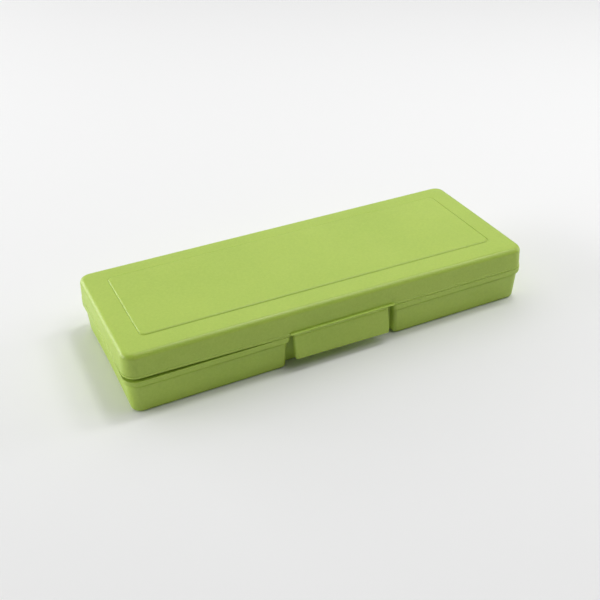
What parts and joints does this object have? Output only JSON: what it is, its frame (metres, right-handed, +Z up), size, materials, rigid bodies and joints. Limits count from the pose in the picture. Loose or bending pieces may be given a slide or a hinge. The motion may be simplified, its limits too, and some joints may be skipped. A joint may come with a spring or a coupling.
{
  "type": "pencil case",
  "caption": "Ruler-length hinged plastic pencil case with a low tray, a deep lid with a raised panel, and a front snap latch flap on a living hinge.",
  "frame": {"origin": "under the middle of the closed case, on the surface that it rests on", "axes": "+X along the case's length, -Y towards the latch at the front, +Y towards the hinge at the back, +Z up"},
  "size_m": [0.24, 0.0958, 0.035],
  "materials": {
    "green_plastic": "satin"
  },
  "bodies": {
    "base": {"base_tray": "green_plastic", "rear_hinge_web": "green_plastic"},
    "lid": {"lid_shell": "green_plastic", "latch_hinge_web": "green_plastic"},
    "latch": {"latch_flap": "green_plastic"}
  },
  "joints": [
    {"name": "lid_hinge", "type": "hinge", "parent": "base", "child": "lid", "pos_m": [0, 0.04752, 0.021], "axis": [-1, 0, 0], "range_deg": [0, 178], "deforming": ["rear_hinge_web"]},
    {"name": "latch_hinge", "type": "hinge", "parent": "lid", "child": "latch", "pos_m": [0, -0.04557, 0.0218], "axis": [-1, 0, 0], "range_deg": [0, 135], "deforming": ["latch_hinge_web"]}
  ]
}
